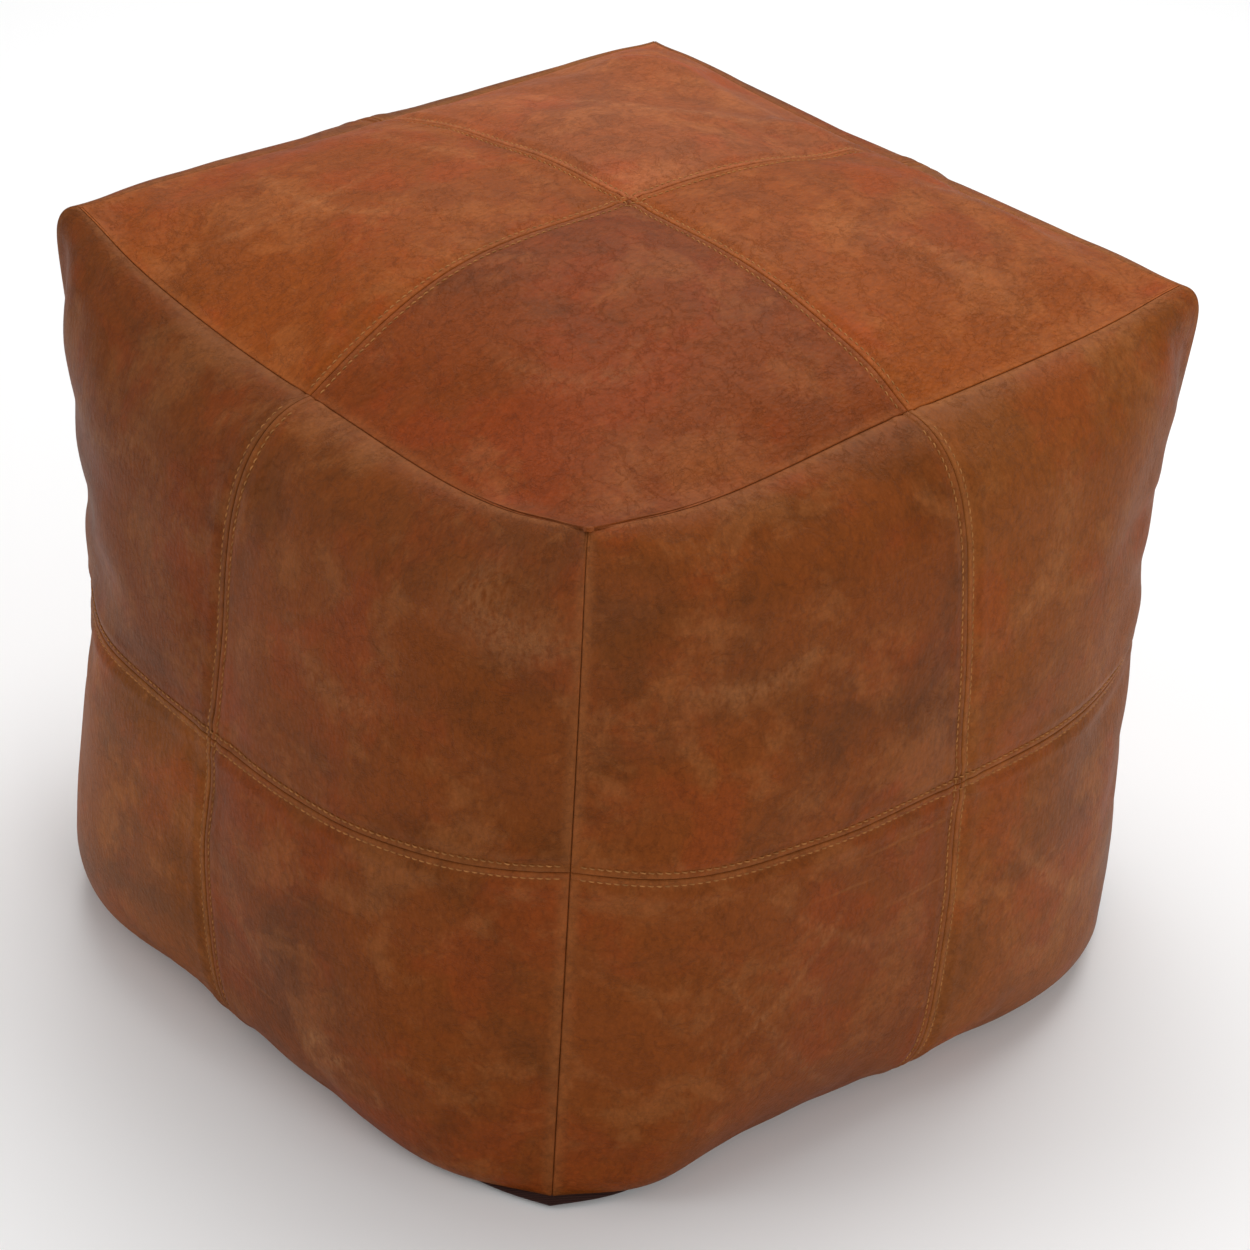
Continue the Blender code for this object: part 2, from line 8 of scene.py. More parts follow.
import bmesh
import bpy
import numpy as np
from mathutils import Matrix, Vector
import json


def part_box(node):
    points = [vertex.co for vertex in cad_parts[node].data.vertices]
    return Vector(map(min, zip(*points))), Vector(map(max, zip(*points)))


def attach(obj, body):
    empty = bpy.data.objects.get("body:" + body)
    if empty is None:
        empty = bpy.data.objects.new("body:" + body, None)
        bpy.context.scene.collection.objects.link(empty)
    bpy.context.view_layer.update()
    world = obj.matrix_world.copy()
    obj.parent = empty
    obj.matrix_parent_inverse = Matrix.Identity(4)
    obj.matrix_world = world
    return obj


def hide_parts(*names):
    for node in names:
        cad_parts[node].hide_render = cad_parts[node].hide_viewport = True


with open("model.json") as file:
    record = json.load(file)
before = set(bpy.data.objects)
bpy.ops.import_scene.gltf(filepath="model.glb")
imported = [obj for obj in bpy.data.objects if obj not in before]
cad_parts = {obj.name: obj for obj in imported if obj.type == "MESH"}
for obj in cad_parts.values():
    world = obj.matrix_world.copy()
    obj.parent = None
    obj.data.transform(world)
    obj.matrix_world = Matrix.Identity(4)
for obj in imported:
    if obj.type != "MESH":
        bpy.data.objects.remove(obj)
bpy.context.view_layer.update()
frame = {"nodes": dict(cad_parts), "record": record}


# ---- The stuffed form ------------------------------------------------------------------------
# The shape that the filling gives the cover: a cube whose faces swell between their seams, with
# a dip along each top seam. Every piece of leather and cloth below lies on it, at the frame's size.

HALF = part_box("top_back_right")[1].x  # middle of the pouf to an upper corner
CORNER_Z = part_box("front_upper_left")[1].z
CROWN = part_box("top_front_left")[1].z - CORNER_Z
BASE_OUT = -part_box("base_front")[0].y - HALF  # the base seam bows out beyond the corners
BULGE = -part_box("front_lower_left")[0].y - HALF
BASE_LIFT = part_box("front_lower_left")[0].z  # base seam above the floor
PANEL_ABOVE_SEAM = 0.0024  # what a base panel itself reaches above its seam
CORNER_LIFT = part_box("base_front")[1].z - BASE_LIFT - PANEL_ABOVE_SEAM
TOP_SAG = {"front": 0.030, "right": 0.013, "back": 0.007, "left": 0.004}
NEAR_SAG = {"front": 0.010, "right": 0.011}  # more of it beside the front right corner
NEAR_END = {"front": 1, "right": -1}  # the end of each of those seams which is at that corner
TOP_IN = 0.004  # top seams are drawn in between corners
EDGE_PULL = 0.0055  # upright seams are drawn in at half height
MID_RISE = 0.0085  # level seams stand above half height
LOBE = 0.009  # leather that swells out round a corner just under the top seam
LOBE_SCALE = 0.25  # share of w over which that swelling comes and goes
FULLNESS = {"upper": 2.75, "lower": 3.6}  # power of the swell across a face
SHOULDER = {"upper": 5.4, "lower": 2.9}  # power of the swell up and down a face
SWELL = 0.51  # power of the roundness above and below
SIDES = ("front", "right", "back", "left")  # each a quarter turn on from the last
FACES = ("top", "base", *SIDES)

# Top corners by the signs of x and y, each with how far it is drawn in and down, and how widely.
BLUNT = {(1, -1): (0.001, 0.004, 0.025), (1, 1): (0.006, 0.001, 0.05), (-1, 1): (0.004, 0.001, 0.025),
         (-1, -1): (0.006, 0.002, 0.05)}
SLIM = 0.008  # the front left edge is drawn in this far
SLIM_REACH = 0.10  # how widely, seen from above
SLIM_LEVEL, SLIM_BAND = 0.42, 0.28  # about which height and how far up and down, as shares of CORNER_Z
FOOT_IN, FOOT_REACH = 0.001, 0.030  # the foot of the front right edge is drawn in too
LIP, LIP_REACH = 0.004, 0.022  # the top overhangs the front right corner
KEPT_LIFT = 0.35  # the corners have slumped and keep this share of their lift
SLUMP = 0.0032  # further down at the front right corner
# Where the base seam lies further in (or out, if negative): side, by, about which u, and how widely.
SEAM_IN = (("front", -0.012, 0.80, 0.26), ("front", -0.004, 0.35, 0.30), ("front", -0.007, -0.55, 0.35),
           ("right", 0.009, -0.38, 0.32), ("right", -0.010, -0.84, 0.16), ("right", -0.009, 0.58, 0.38))


def top_sag(side, u):
    """How far a top seam dips: a parabola, and a hump beside the slumped corner, t squared times
    1 - t, which 6.75 makes 1 at its highest."""
    near = np.clip(u * NEAR_END.get(side, 1), 0, 1)
    return TOP_SAG[side] * (1 - u * u) + NEAR_SAG.get(side, 0) * 6.75 * near**2 * (1 - near)


def corner_lift(x_sign, y_sign, reach):
    """How far the base seam rises towards a corner: a fourth power, less an eighth power at the
    slumped one. reach goes from 0 in mid side to 1 at the corner."""
    slumped = (x_sign > 0) & (y_sign < 0)
    return CORNER_LIFT * KEPT_LIFT * reach**4 - np.where(slumped, SLUMP, 0) * reach**8


def seam_in(side, u):
    """How far the base seam lies inside its plain line: a sum of bell curves, none at the corners."""
    bumps = (by * np.exp(-(((u - about) / over) ** 2)) for on, by, about, over in SEAM_IN if on == side)
    return sum(bumps) * (1 - u**8)


def blunted(place):
    """Rounds each top corner: what is near it moves in and down, by a bell curve of the distance.
    The foot of the front right edge and the middle of the front left edge are drawn in alike."""
    for (x_sign, y_sign), (draw, drop, reach) in BLUNT.items():
        apart = np.linalg.norm(place - (x_sign * HALF, y_sign * HALF, CORNER_Z), axis=-1)
        share = np.exp(-((apart / reach) ** 2))[..., None]
        place = place - share * (x_sign * draw, y_sign * draw, drop)
    apart = np.linalg.norm(place - (HALF, -HALF, BASE_LIFT), axis=-1)
    place = place - FOOT_IN * np.exp(-((apart / FOOT_REACH) ** 2))[..., None] * (1, -1, 0)
    apart = np.hypot(place[..., 0] + HALF, place[..., 1] + HALF) / SLIM_REACH
    half_way = (place[..., 2] - CORNER_Z * SLIM_LEVEL) / (CORNER_Z * SLIM_BAND)
    return place + SLIM * np.exp(-(apart**2) - half_way**2)[..., None] * (1, 1, 0)


def bow(u, level):
    """Swell across a face: 1 less |u| to a power that grows from the top edge to the base."""
    share = (level + 1) / 2
    return 1 - np.abs(u) ** (FULLNESS["upper"] * share + FULLNESS["lower"] * (1 - share))


def side_form(side, u, w):
    """A side face: straight between its seams, plus a swell that rounds off above and below, turned
    to its side of the pouf. u runs left to right and w from base seam to top seam, each -1 to 1.
    The lobe under the top seam is a root times an exponential, which 2.85 makes 1 at its highest."""
    share = (w + 1) / 2
    left, right = {"front": ((-1, -1), (1, -1)), "right": ((1, -1), (1, 1)), "back": ((1, 1), (-1, 1)),
                   "left": ((-1, 1), (-1, -1))}[side]
    low = BASE_LIFT + np.where(u < 0, corner_lift(*left, np.abs(u)), corner_lift(*right, np.abs(u)))
    high = CORNER_Z - top_sag(side, u)
    shoulder = np.where(w > 0, SHOULDER["upper"], SHOULDER["lower"])
    swell = np.clip(1 - np.abs(w) ** shoulder, 0, 1) ** SWELL
    seam_bow = BASE_OUT * (1 - share) - TOP_IN * share
    out = bow(u, w) * (seam_bow + (BULGE - (BASE_OUT - TOP_IN) / 2) * swell)
    out = out - seam_in(side, u) * (1 - share) ** 2
    under = (1 - w) / LOBE_SCALE  # 0 on the top seam
    lobe = LOBE * 2.85 * np.sqrt(under) * np.exp(-1.5 * under)
    edge = HALF - EDGE_PULL * (1 - w * w) + lobe * np.abs(u) ** 3
    x, y = u * edge, -edge - out
    z = low + (high - low) * share + MID_RISE * bow(u, w) * (1 - w * w)
    for _ in range(SIDES.index(side)):
        x, y = -y, x
    return np.stack((x, y, z), axis=-1)


def top_form(a, b):
    """The top: a crown between four seams that dip between corners. a runs along X and b along Y."""
    sag_x = np.where(a > 0, top_sag("right", b), top_sag("left", -b)) * np.abs(a) ** FULLNESS["upper"]
    sag_y = np.where(b > 0, top_sag("back", -a), top_sag("front", a)) * np.abs(b) ** FULLNESS["upper"]
    z = CORNER_Z - sag_x - sag_y + CROWN * bow(a, 1) * bow(b, 1)
    return np.stack((a * (HALF - TOP_IN * bow(b, 1)), b * (HALF - TOP_IN * bow(a, 1)), z), axis=-1)


ZIP_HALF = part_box("base_back")[0].y  # half of the slot between the base panels
ZIP_RISE = 0.008  # cloth beside the zip, above the floor
TROUGH_EDGE = 0.048  # where that cloth comes down to the floor
FLAT_TO = 0.83  # share of the base that lies flat
LOOSE = 0.0060  # how far slack cloth hangs out under the right side, in waves
FOOT_OUT, FOOT_SPREAD = 0.0085, 0.060  # and under the front right corner, with how widely


def base_form(a, b):
    """The base, seen from below: flat on the floor, turned up to its seam by a parabola and beside
    the zip by a straight slope, and hanging out a little between the floor and its seam."""
    b = -b
    x = a * (HALF + BASE_OUT * bow(b, -1) - np.where(a > 0, seam_in("right", b), 0) * a**8)
    y = b * (HALF + BASE_OUT * bow(a, -1) - np.where(b < 0, seam_in("front", a), 0) * b**8)
    most, least = np.maximum(np.abs(a), np.abs(b)), np.minimum(np.abs(a), np.abs(b))
    rise = np.clip((most - FLAT_TO) / (1 - FLAT_TO), 0, 1) ** 2
    slope = np.clip((TROUGH_EDGE - np.abs(y)) / (TROUGH_EDGE - ZIP_HALF), 0, 1)
    z = rise * (BASE_LIFT + corner_lift(a, b, least)) + ZIP_RISE * slope * (1 - rise)
    near = np.exp(-((((x - HALF) ** 2 + (y + HALF) ** 2) / FOOT_SPREAD**2) ** 1.5))
    loose = np.where(a > np.abs(b), LOOSE * (0.55 + 0.45 * np.sin(15 * b + 2.2)) * (1 - b**6), 0)
    flare = 4 * rise * (1 - rise)  # between the flat part and the seam
    x = x + flare * (loose * (1 - near) + FOOT_OUT * near)
    y = y - flare * FOOT_OUT * near
    return np.stack((x, y, z), axis=-1)


def form(face, u, v):
    """The form's outer surface on any face. The top's lip is a bell curve round one corner."""
    if face == "base":
        return blunted(base_form(u, v))
    if face != "top":
        return blunted(side_form(face, u, v))
    place = blunted(top_form(u, v))
    apart = np.linalg.norm(place - (HALF, -HALF, CORNER_Z), axis=-1)
    return place + LIP * np.exp(-((apart / LIP_REACH) ** 2))[..., None] * (1, -1, 0.3)


def grid_quads(rows, columns):
    """Corner numbers of each cell of a grid whose points run row by row."""
    first = np.arange(rows * columns).reshape(rows, columns)[:-1, :-1].ravel()
    return np.stack((first, first + 1, first + columns + 1, first + columns), axis=1)


def piece_from(name, points, quads, **carried):
    """A smooth-shaded mesh object, with corners that share a place made one and empty faces dropped.
    Any other grids given are carried on its points, for its material to read."""
    mesh = bpy.data.meshes.new(name)
    mesh.from_pydata(points.reshape(-1, 3).tolist(), [], quads.tolist())
    for key, values in carried.items():
        vector = values.ndim == 3
        store = mesh.attributes.new(key, "FLOAT_VECTOR" if vector else "FLOAT", "POINT")
        store.data.foreach_set("vector" if vector else "value", values.astype(np.float32).ravel())
    work = bmesh.new()
    work.from_mesh(mesh)
    bmesh.ops.remove_doubles(work, verts=work.verts, dist=2e-6)
    bmesh.ops.dissolve_degenerate(work, edges=work.edges, dist=1e-6)
    work.to_mesh(mesh)
    work.free()
    mesh.shade_smooth()
    made = bpy.data.objects.new(name, mesh)
    bpy.context.scene.collection.objects.link(made)
    return made


# ---- How the filling pushes the cover ---------------------------------------------------------
# The cover is simulated as cloth under a little pressure, held at its seams, so that the leather
# puffs and wrinkles between them. What is kept is how far each point moved, as a grid on each face.

CLOTH_CELLS = 36
CLOTH_FRAMES = 20
MOST_PUSH = 0.007  # the simulation moves no point further than this
HELD = {"edge seam": 1.0, "mid seam": 0.75}  # how firmly the sewing holds the cloth in place
SEAM_PASSES = 6  # how often the push is smoothed along each mid seam


def cubic(values, u, v):
    """Smooth surface through a square grid of values, read at u and v from -1 to 1: Catmull-Rom
    weights of the four nearest rows times those of the four nearest columns."""
    count = values.shape[0] - 1

    def weights(t):
        at = np.clip((t + 1) / 2 * count, 0, count)
        cell = np.minimum(at.astype(int), count - 1)
        f = at - cell
        near = (f * (-1 + f * (2 - f)), 2 + f * f * (-5 + 3 * f),
                f * (1 + f * (4 - 3 * f)), f * f * (f - 1))
        return [(np.clip(cell + k - 1, 0, count), w / 2) for k, w in enumerate(near)]

    total = 0
    for row, row_weight in weights(v):
        for column, weight in weights(u):
            share = row_weight * weight
            total = total + values[row, column] * (share[..., None] if values.ndim == 3 else share)
    return total


def simulated_push():
    """Steps the cloth and returns each face's grid of movements, which a hyperbolic tangent of
    their length keeps under the limit."""
    lines = np.linspace(-1, 1, CLOTH_CELLS + 1)
    u, v = np.meshgrid(lines, lines)
    start = np.concatenate([form(face, u, v).reshape(-1, 3) for face in FACES])
    edge = np.tile((np.maximum(np.abs(u), np.abs(v)) > 0.999).ravel(), len(FACES))
    mid = np.tile((np.minimum(np.abs(u), np.abs(v)) < 0.001).ravel(), len(FACES))
    places, index, back = np.unique(np.round(start, 5), axis=0, return_index=True, return_inverse=True)
    back = back.reshape(-1)
    quads = np.concatenate([grid_quads(len(lines), len(lines)) + k * u.size for k in range(len(FACES))])
    mesh = bpy.data.meshes.new("cloth")
    mesh.from_pydata(start[index].tolist(), [], back[quads].tolist())
    cloth = bpy.data.objects.new("cloth", mesh)
    bpy.context.scene.collection.objects.link(cloth)
    pins = cloth.vertex_groups.new(name="sewn")
    floor = start[index][:, 2] < BASE_LIFT + 0.001
    pins.add(np.flatnonzero(mid[index]).tolist(), HELD["mid seam"], "REPLACE")
    pins.add(np.flatnonzero(edge[index] | floor).tolist(), HELD["edge seam"], "REPLACE")
    step = cloth.modifiers.new("stuffing", "CLOTH")
    settings = step.settings
    settings.vertex_group_mass = "sewn"
    settings.mass = 0.4
    settings.use_pressure = True
    settings.uniform_pressure_force = 4
    settings.effector_weights.gravity = 0
    settings.shrink_min = -0.015  # the cloth is a little larger than its place, so it wrinkles
    settings.tension_stiffness = settings.compression_stiffness = 20
    settings.bending_stiffness = 1.5
    settings.air_damping = 4
    step.point_cache.frame_start, step.point_cache.frame_end = 1, CLOTH_FRAMES
    for number in range(1, CLOTH_FRAMES + 1):
        bpy.context.scene.frame_set(number)
    evaluated = cloth.evaluated_get(bpy.context.evaluated_depsgraph_get())
    moved = np.empty(len(index) * 3)
    evaluated.data.vertices.foreach_get("co", moved)
    bpy.context.scene.frame_set(1)
    bpy.data.objects.remove(cloth)
    push = moved.reshape(-1, 3) - start[index]
    far = np.linalg.norm(push, axis=1, keepdims=True)
    push *= np.tanh(far / MOST_PUSH) * MOST_PUSH / np.maximum(far, 1e-9)
    push = push[back].reshape(len(FACES), len(lines), len(lines), 3)
    smoother = push.copy()  # thick hide has no creases as fine as the grid, and sewing is stiffer still
    smoother[:, 1:-1, 1:-1] = (0.5 * push[:, 1:-1, 1:-1] + 0.125 * (
        push[:, 2:, 1:-1] + push[:, :-2, 1:-1] + push[:, 1:-1, 2:] + push[:, 1:-1, :-2]))
    push, half = smoother, CLOTH_CELLS // 2
    for _ in range(SEAM_PASSES):
        for seam in (push[:, half], push[:, :, half]):
            seam[:, 1:-1] = (seam[:, :-2] + 2 * seam[:, 1:-1] + seam[:, 2:]) / 4
    return dict(zip(FACES, push))


PUSH = simulated_push()

# Hand stuffing is never even: soft lumps a hand wide, and smaller ones between them.
rng = np.random.default_rng(11)
LUMP_SIZES = ((0.0030, 6), (0.0011, 13))  # most height, and cells across a face
LUMPS = {face: [rng.uniform(-size, size, (cells, cells)) for size, cells in LUMP_SIZES] for face in FACES}

# Folds that stay in the leather: face, from and to as shares of the face, half width, and height.
FOLDS = (
    ("top", (-0.95, 0.72), (0.60, 0.86), 0.018, 0.004),
    ("top", (-0.90, 0.74), (-0.60, 0.86), 0.045, 0.009),
    ("top", (-0.05, 0.98), (-0.35, 0.45), 0.014, 0.003),
    ("top", (0.78, 0.90), (0.15, 0.62), 0.016, 0.003),
    ("top", (0.95, -0.05), (0.62, 0.25), 0.013, 0.002),
    ("front", (-0.93, 0.86), (-0.72, 0.1), 0.022, 0.004),
    ("right", (0.95, 0.8), (0.75, 0.05), 0.022, 0.004),
    ("right", (0.97, -0.02), (0.55, -0.1), 0.014, -0.003),
    ("front", (-0.97, -0.02), (-0.6, -0.12), 0.016, -0.002),
)


NEAR = 1e-3  # step in u and v at which slopes are measured


def slopes(face, u, v):
    """How the form's place changes over a small step each way, along u and along v."""
    across = form(face, np.minimum(u + NEAR, 1), v) - form(face, np.maximum(u - NEAR, -1), v)
    along = form(face, u, np.minimum(v + NEAR, 1)) - form(face, u, np.maximum(v - NEAR, -1))
    return across, along


def stuffed(face, u, v):
    """The form moved by the simulation and then by lumps and folds along its outward direction,
    which is the cross product of its two slopes. Each fold is a bell curve across its line."""
    out = np.cross(*slopes(face, u, v))
    out /= np.linalg.norm(out, axis=-1, keepdims=True)
    place = form(face, u, v)
    if PUSH:
        place = place + cubic(PUSH[face], u, v)
    height = sum(cubic(grid, u, v) for grid in LUMPS[face])
    for on, start, end, width, size in FOLDS:
        if on != face:
            continue
        run = np.subtract(end, start)
        share = ((u - start[0]) * run[0] + (v - start[1]) * run[1]) / (run @ run)
        apart = ((u - start[0]) * run[1] - (v - start[1]) * run[0]) / np.linalg.norm(run) * HALF
        height = height + size * np.exp(-((apart / width) ** 2)) * np.exp(-((share - 0.5) * 2) ** 4)
    height = height * (1 - u**8) * (1 - v**8)
    if face == "base":
        height = 0 * height  # the floor keeps it flat
    return place + out * height[..., None], out


# ---- Leather patches ---------------------------------------------------------------------------
# Four quarters of the top and four of each side face, cut from waxed hides and sewn face to face.
# Each patch rolls over at its seams into the allowance that is turned to the inside.

WALL = 0.0014  # thickness of the hide
SEAM_GAP = 0.00004  # each patch stops this far from the seam's middle
ROLL = 0.0013  # radius at which the leather turns in
ALLOWANCE = 0.006  # leather turned in beyond the roll
LINES = 104  # grid lines across a patch
STITCH_OFFSET = 0.0042  # each stitching row to the mid seam
STITCH_PITCH = 0.0043
STRIP_RISE, STRIP_EDGE = 0.0009, 0.0007  # the strip over the allowances, and how softly it ends
TROUGH_DEPTH, TROUGH_WIDTH = 0.0007, 0.0009  # where a row pulls the leather down
PUCKER_RISE, PUCKER_AT, PUCKER_WIDTH = 0.0008, 0.010, 0.004  # the leather puffs up beyond the rows


def mid_relief(face, u, v):
    """Height near a mid seam, by the true distance from it: the allowances lift a strip as wide as
    the two stitching rows, which ends in an S curve, a bell curve pulls down a trough under each
    row, and another puffs the leather up beyond it."""
    across, along = (np.linalg.norm(slope, axis=-1) / (2 * NEAR) for slope in slopes(face, u, v))
    total = 0
    for apart in (np.abs(u) * across, np.abs(v) * along):
        beyond_row = apart - STITCH_OFFSET
        strip = STRIP_RISE / (1 + np.exp(beyond_row / STRIP_EDGE))
        trough = TROUGH_DEPTH * np.exp(-((beyond_row / TROUGH_WIDTH) ** 2))
        pucker = PUCKER_RISE * np.exp(-(((apart - PUCKER_AT) / PUCKER_WIDTH) ** 2))
        total = total + strip - trough + pucker
    return total


def spread(count):
    """From 0 to 1, with steps that a cosine shortens to about a fourteenth of the average at both ends."""
    even = np.linspace(0, 1, count)
    return even - 0.93 * np.sin(2 * np.pi * even) / (2 * np.pi)


def patch_lines(face, sign, upright, count=LINES):
    """Grid lines of a patch from its mid seam to its edge seam, spread by true distance over the
    surface, with two more at each end for the allowance. Returns shares of the face, distances
    gone from the mid seam, the whole distance, and how deep each line is turned in."""
    fine = np.sin(np.linspace(0, np.pi / 2, 800))
    middle = np.full_like(fine, 0.4)
    line = form(face, middle, sign * fine) if upright else form(face, sign * fine, middle)
    gone = np.concatenate(([0], np.cumsum(np.linalg.norm(np.diff(line, axis=0), axis=1))))
    stops = SEAM_GAP + spread(count) * (gone[-1] - 2 * SEAM_GAP)
    stops = np.concatenate((stops[[0, 0]], stops, stops[[-1, -1]]))
    depth = np.zeros_like(stops)
    depth[[0, -1]], depth[[1, -2]] = ALLOWANCE, ALLOWANCE / 3
    order = slice(None, None, sign)
    return sign * np.interp(stops, gone, fine)[order], stops[order], gone[-1], depth[order]


def inward(place, out, share):
    """Straight in from a seam: against the face's own direction on a mid seam, and towards an edge
    seam as a diagonal of the cube, which the faces on both its sides agree on."""
    middle = np.array((0, 0, CORNER_Z / 2))
    diagonal = ((place - middle) / np.array((HALF, HALF, CORNER_Z / 2))) ** 9
    diagonal /= np.linalg.norm(diagonal, axis=-1, keepdims=True)
    way = out * (1 - share[..., None]) + diagonal * share[..., None]
    return -way / np.linalg.norm(way, axis=-1, keepdims=True)


# Where knees and floors have rubbed the hide pale: face, from, to, how far it bends, half width, and
# how strongly.
RUBS = (
    ("front", (0.50, -0.66), (0.44, -0.84), 0.06, 0.0040, 0.8),
    ("front", (0.56, -0.70), (0.49, -0.86), 0.05, 0.0030, 0.7),
    ("front", (0.62, -0.74), (0.58, -0.84), -0.04, 0.0035, 0.6),
    ("front", (0.40, -0.70), (0.56, -0.78), -0.03, 0.0050, 0.5),
    ("front", (0.10, -0.25), (0.30, -0.60), 0.05, 0.0060, 0.35),
    ("front", (0.25, 0.55), (0.60, 0.40), 0.08, 0.010, 0.4),
    ("front", (-0.70, 0.60), (-0.35, 0.75), 0.05, 0.009, 0.4),
    ("front", (0.75, 0.92), (0.97, 0.62), 0.05, 0.020, 0.5),
    ("right", (-0.70, -0.30), (-0.30, -0.85), 0.02, 0.0022, 0.55),
    ("right", (-0.75, -0.62), (-0.35, -0.20), 0.02, 0.0020, 0.45),
    ("right", (-0.55, -0.15), (-0.18, -0.42), 0.02, 0.0022, 0.4),
    ("right", (0.20, -0.25), (0.62, -0.60), 0.05, 0.0045, 0.5),
    ("right", (0.15, 0.40), (0.35, 0.85), 0.08, 0.012, 0.35),
    ("right", (-0.80, 0.55), (-0.45, 0.62), 0.05, 0.009, 0.4),
    ("top", (-0.80, -0.55), (-0.30, -0.50), 0.06, 0.0040, 0.5),
    ("top", (-0.62, -0.85), (-0.55, -0.35), 0.05, 0.0035, 0.5),
    ("top", (0.30, -0.70), (0.62, -0.45), 0.10, 0.0080, 0.35),
    ("top", (-0.65, 0.30), (-0.20, 0.70), 0.05, 0.0060, 0.5),
    ("top", (0.35, 0.25), (0.80, 0.50), -0.06, 0.0080, 0.4),
    ("top", (-0.85, -0.2), (-0.35, -0.12), 0.03, 0.0060, 0.4),
)


def rubbed(face, u, v):
    """Sum of soft strokes: a bell curve across each bent line, fading towards its ends."""
    total = np.zeros_like(u)
    for on, start, end, bend, width, strength in RUBS:
        if on != face:
            continue
        run = np.subtract(end, start)
        share = ((u - start[0]) * run[0] + (v - start[1]) * run[1]) / (run @ run)
        apart = ((u - start[0]) * run[1] - (v - start[1]) * run[0]) / np.linalg.norm(run)
        apart = (apart - bend * 4 * share * (1 - share)) * HALF
        total += strength * np.exp(-((apart / width) ** 2)) * np.exp(-(((share - 0.5) * 2) ** 6))
    return total


HIDE_STEP = 0.37  # each patch's clouds come from a place on the hide this far from the last one's


def sewn_patch(name, face, u_sign, v_sign, number):
    """A patch on its quarter of a face. Its lines drop along a quarter circle near a seam, then run
    straight in for the allowance. It carries its place on its hide and its distance from seams."""
    us, u_gone, u_all, u_depth = patch_lines(face, u_sign, False)
    vs, v_gone, v_all, v_depth = patch_lines(face, v_sign, True)
    u, v = np.meshgrid(us, vs)
    place, out = stuffed(face, u, v)
    place = place + out * mid_relief(face, u, v)[..., None]
    way = inward(place, out, np.clip((np.maximum(np.abs(u), np.abs(v)) - 0.9) / 0.1, 0, 1))
    mid = np.minimum(u_gone[None, :], v_gone[:, None])
    edge = np.minimum((u_all - u_gone)[None, :], (v_all - v_gone)[:, None])
    rolled = np.clip(ROLL + SEAM_GAP - np.minimum(mid, edge), 0, ROLL)
    drop = ROLL - np.sqrt(ROLL**2 - rolled**2) + np.maximum(u_depth[None, :], v_depth[:, None])
    hide = np.stack(np.broadcast_arrays(
        u_gone[None, :] * u_sign, v_gone[:, None] * v_sign, number * HIDE_STEP), axis=-1)
    return piece_from(name, place + way * drop[..., None], grid_quads(*u.shape), hide_place=hide,
                      mid_seam=mid, edge_seam=edge, rubbed=rubbed(face, u, v))


def placed(tree, kind, inputs=(), **settings):
    """A node in a tree, with its settings, and with a value or a link for each input given."""
    node = tree.nodes.new(kind)
    for key, value in settings.items():
        setattr(node, key, value)
    for key, value in dict(inputs).items():
        if isinstance(value, bpy.types.NodeSocket):
            tree.links.new(value, node.inputs[key])
        else:
            node.inputs[key].default_value = value
    return node


def noise(tree, place, scale, detail=3.0, roughness=0.55, distortion=0.0):
    values = {"Vector": place, "Scale": scale, "Detail": detail, "Roughness": roughness,
              "Distortion": distortion}
    return placed(tree, "ShaderNodeTexNoise", values).outputs["Fac"]


def between(tree, value, low, high, to_low=0.0, to_high=1.0):
    """A mask that rises smoothly as a value goes from low to high."""
    values = {"Value": value, "From Min": low, "From Max": high, "To Min": to_low, "To Max": to_high}
    return placed(tree, "ShaderNodeMapRange", values, interpolation_type="SMOOTHSTEP").outputs["Result"]


def math_node(tree, operation, first, second=0.0):
    return placed(tree, "ShaderNodeMath", {0: first, 1: second}, operation=operation).outputs[0]


def times(tree, first, second):
    return math_node(tree, "MULTIPLY", first, second)


def plus(tree, first, second):
    return math_node(tree, "ADD", first, second)


def mixed(tree, share, first, second):
    """The first colour, or the second where the share is 1."""
    return placed(tree, "ShaderNodeMix", {0: share, 6: first, 7: second}, data_type="RGBA").outputs[2]


def shifted(tree, place, move=(0, 0, 0), turn=(0, 0, 0), stretch=(1, 1, 1)):
    """A pattern's place moved, turned and stretched."""
    values = {"Vector": place, "Location": move, "Rotation": turn, "Scale": stretch}
    return placed(tree, "ShaderNodeMapping", values).outputs["Vector"]


def node_group(name, inputs, outputs):
    """An empty group with named sockets, and its input and output nodes."""
    tree = bpy.data.node_groups.new(name, "ShaderNodeTree")
    for way, sockets in (("INPUT", inputs), ("OUTPUT", outputs)):
        for socket, kind in sockets.items():
            tree.interface.new_socket(socket, in_out=way, socket_type=f"NodeSocket{kind}")
    return tree, tree.nodes.new("NodeGroupInput").outputs, tree.nodes.new("NodeGroupOutput")


def finish(tree, output, **values):
    """Links values to a group's outputs of the same names."""
    for key, value in values.items():
        tree.links.new(value, output.inputs[key.replace("_", " ")])


